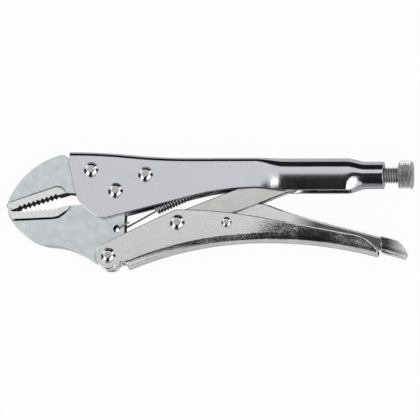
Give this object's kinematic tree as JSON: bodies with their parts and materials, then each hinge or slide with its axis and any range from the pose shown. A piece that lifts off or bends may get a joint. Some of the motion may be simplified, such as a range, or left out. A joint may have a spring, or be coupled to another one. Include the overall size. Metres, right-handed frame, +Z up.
{
  "type": "locking pliers",
  "caption": "Toggle-locking pliers with toothed jaws, folded sheet-steel handles, a release lever and a knurled adjusting screw.",
  "frame": {"origin": "on the axis of the jaw pivot, on the surface that the pliers lie on", "axes": "+X from the jaws to the screw knob, +Y from the movable handle to the fixed handle, +Z up, square to the sides of the handles"},
  "size_m": [0.2513, 0.0735, 0.0187],
  "materials": {
    "nickel_plate": "bright nickel plate on stamped sheet",
    "satin_nickel": "satin nickel plate on a blasted forging",
    "rivet_steel": "bright plated rivet",
    "screw_steel": "dull plated steel",
    "spring_steel": "bare drawn wire"
  },
  "bodies": {
    "fixed_handle": {"fixed_handle": "nickel_plate", "fixed_jaw": "satin_nickel", "front_jaw_rivet": "rivet_steel", "rear_jaw_rivet": "rivet_steel", "jaw_pivot_rivet": "rivet_steel", "return_spring": "spring_steel"},
    "movable_jaw": {"movable_jaw": "satin_nickel"},
    "movable_handle": {"movable_handle": "nickel_plate", "handle_pivot_rivet": "rivet_steel", "link_pivot_rivet": "rivet_steel", "lever_pivot_rivet": "rivet_steel"},
    "toggle_link": {"toggle_link": "nickel_plate"},
    "release_lever": {"release_lever": "nickel_plate"},
    "adjusting_screw": {"adjusting_screw": "screw_steel"},
    "screw_knob": {"screw_knob": "screw_steel"}
  },
  "joints": [
    {"name": "jaw_pivot", "type": "hinge", "parent": "fixed_handle", "child": "movable_jaw", "pos_m": [0, 0, 0.00935], "axis": [0, 0, 1], "range_deg": [0, 24.15], "deforming": ["return_spring"]},
    {"name": "handle_pivot", "type": "hinge", "parent": "movable_jaw", "child": "movable_handle", "pos_m": [-0.0033, -0.0404, 0.00935], "axis": [0, 0, -1], "range_deg": [0, 70], "deforming": ["return_spring"]},
    {"name": "link_pivot", "type": "hinge", "parent": "movable_handle", "child": "toggle_link", "pos_m": [0.039, -0.0198, 0.00935], "axis": [0, 0, 1], "range_deg": [0, 77.24]},
    {"name": "lever_pivot", "type": "hinge", "parent": "movable_handle", "child": "release_lever", "pos_m": [0.0695, -0.0196, 0.00935], "axis": [0, 0, 1], "range_deg": [0, 6]},
    {"name": "screw_travel", "type": "slide", "parent": "fixed_handle", "child": "adjusting_screw", "axis": [1, 0, 0], "range_m": [0, 0.018]},
    {"name": "knob_turn", "type": "hinge", "parent": "adjusting_screw", "child": "screw_knob", "pos_m": [0.1738, 0.0105, 0.00935], "axis": [1, 0, 0], "range_deg": [0, 4330]}
  ],
  "couplings": [
    {"joint": "jaw_pivot", "follows": "handle_pivot", "ratio": 0.345},
    {"joint": "link_pivot", "follows": "handle_pivot", "ratio": 1.1034},
    {"joint": "knob_turn", "follows": "screw_travel", "rad_per_m": 4188.8}
  ]
}
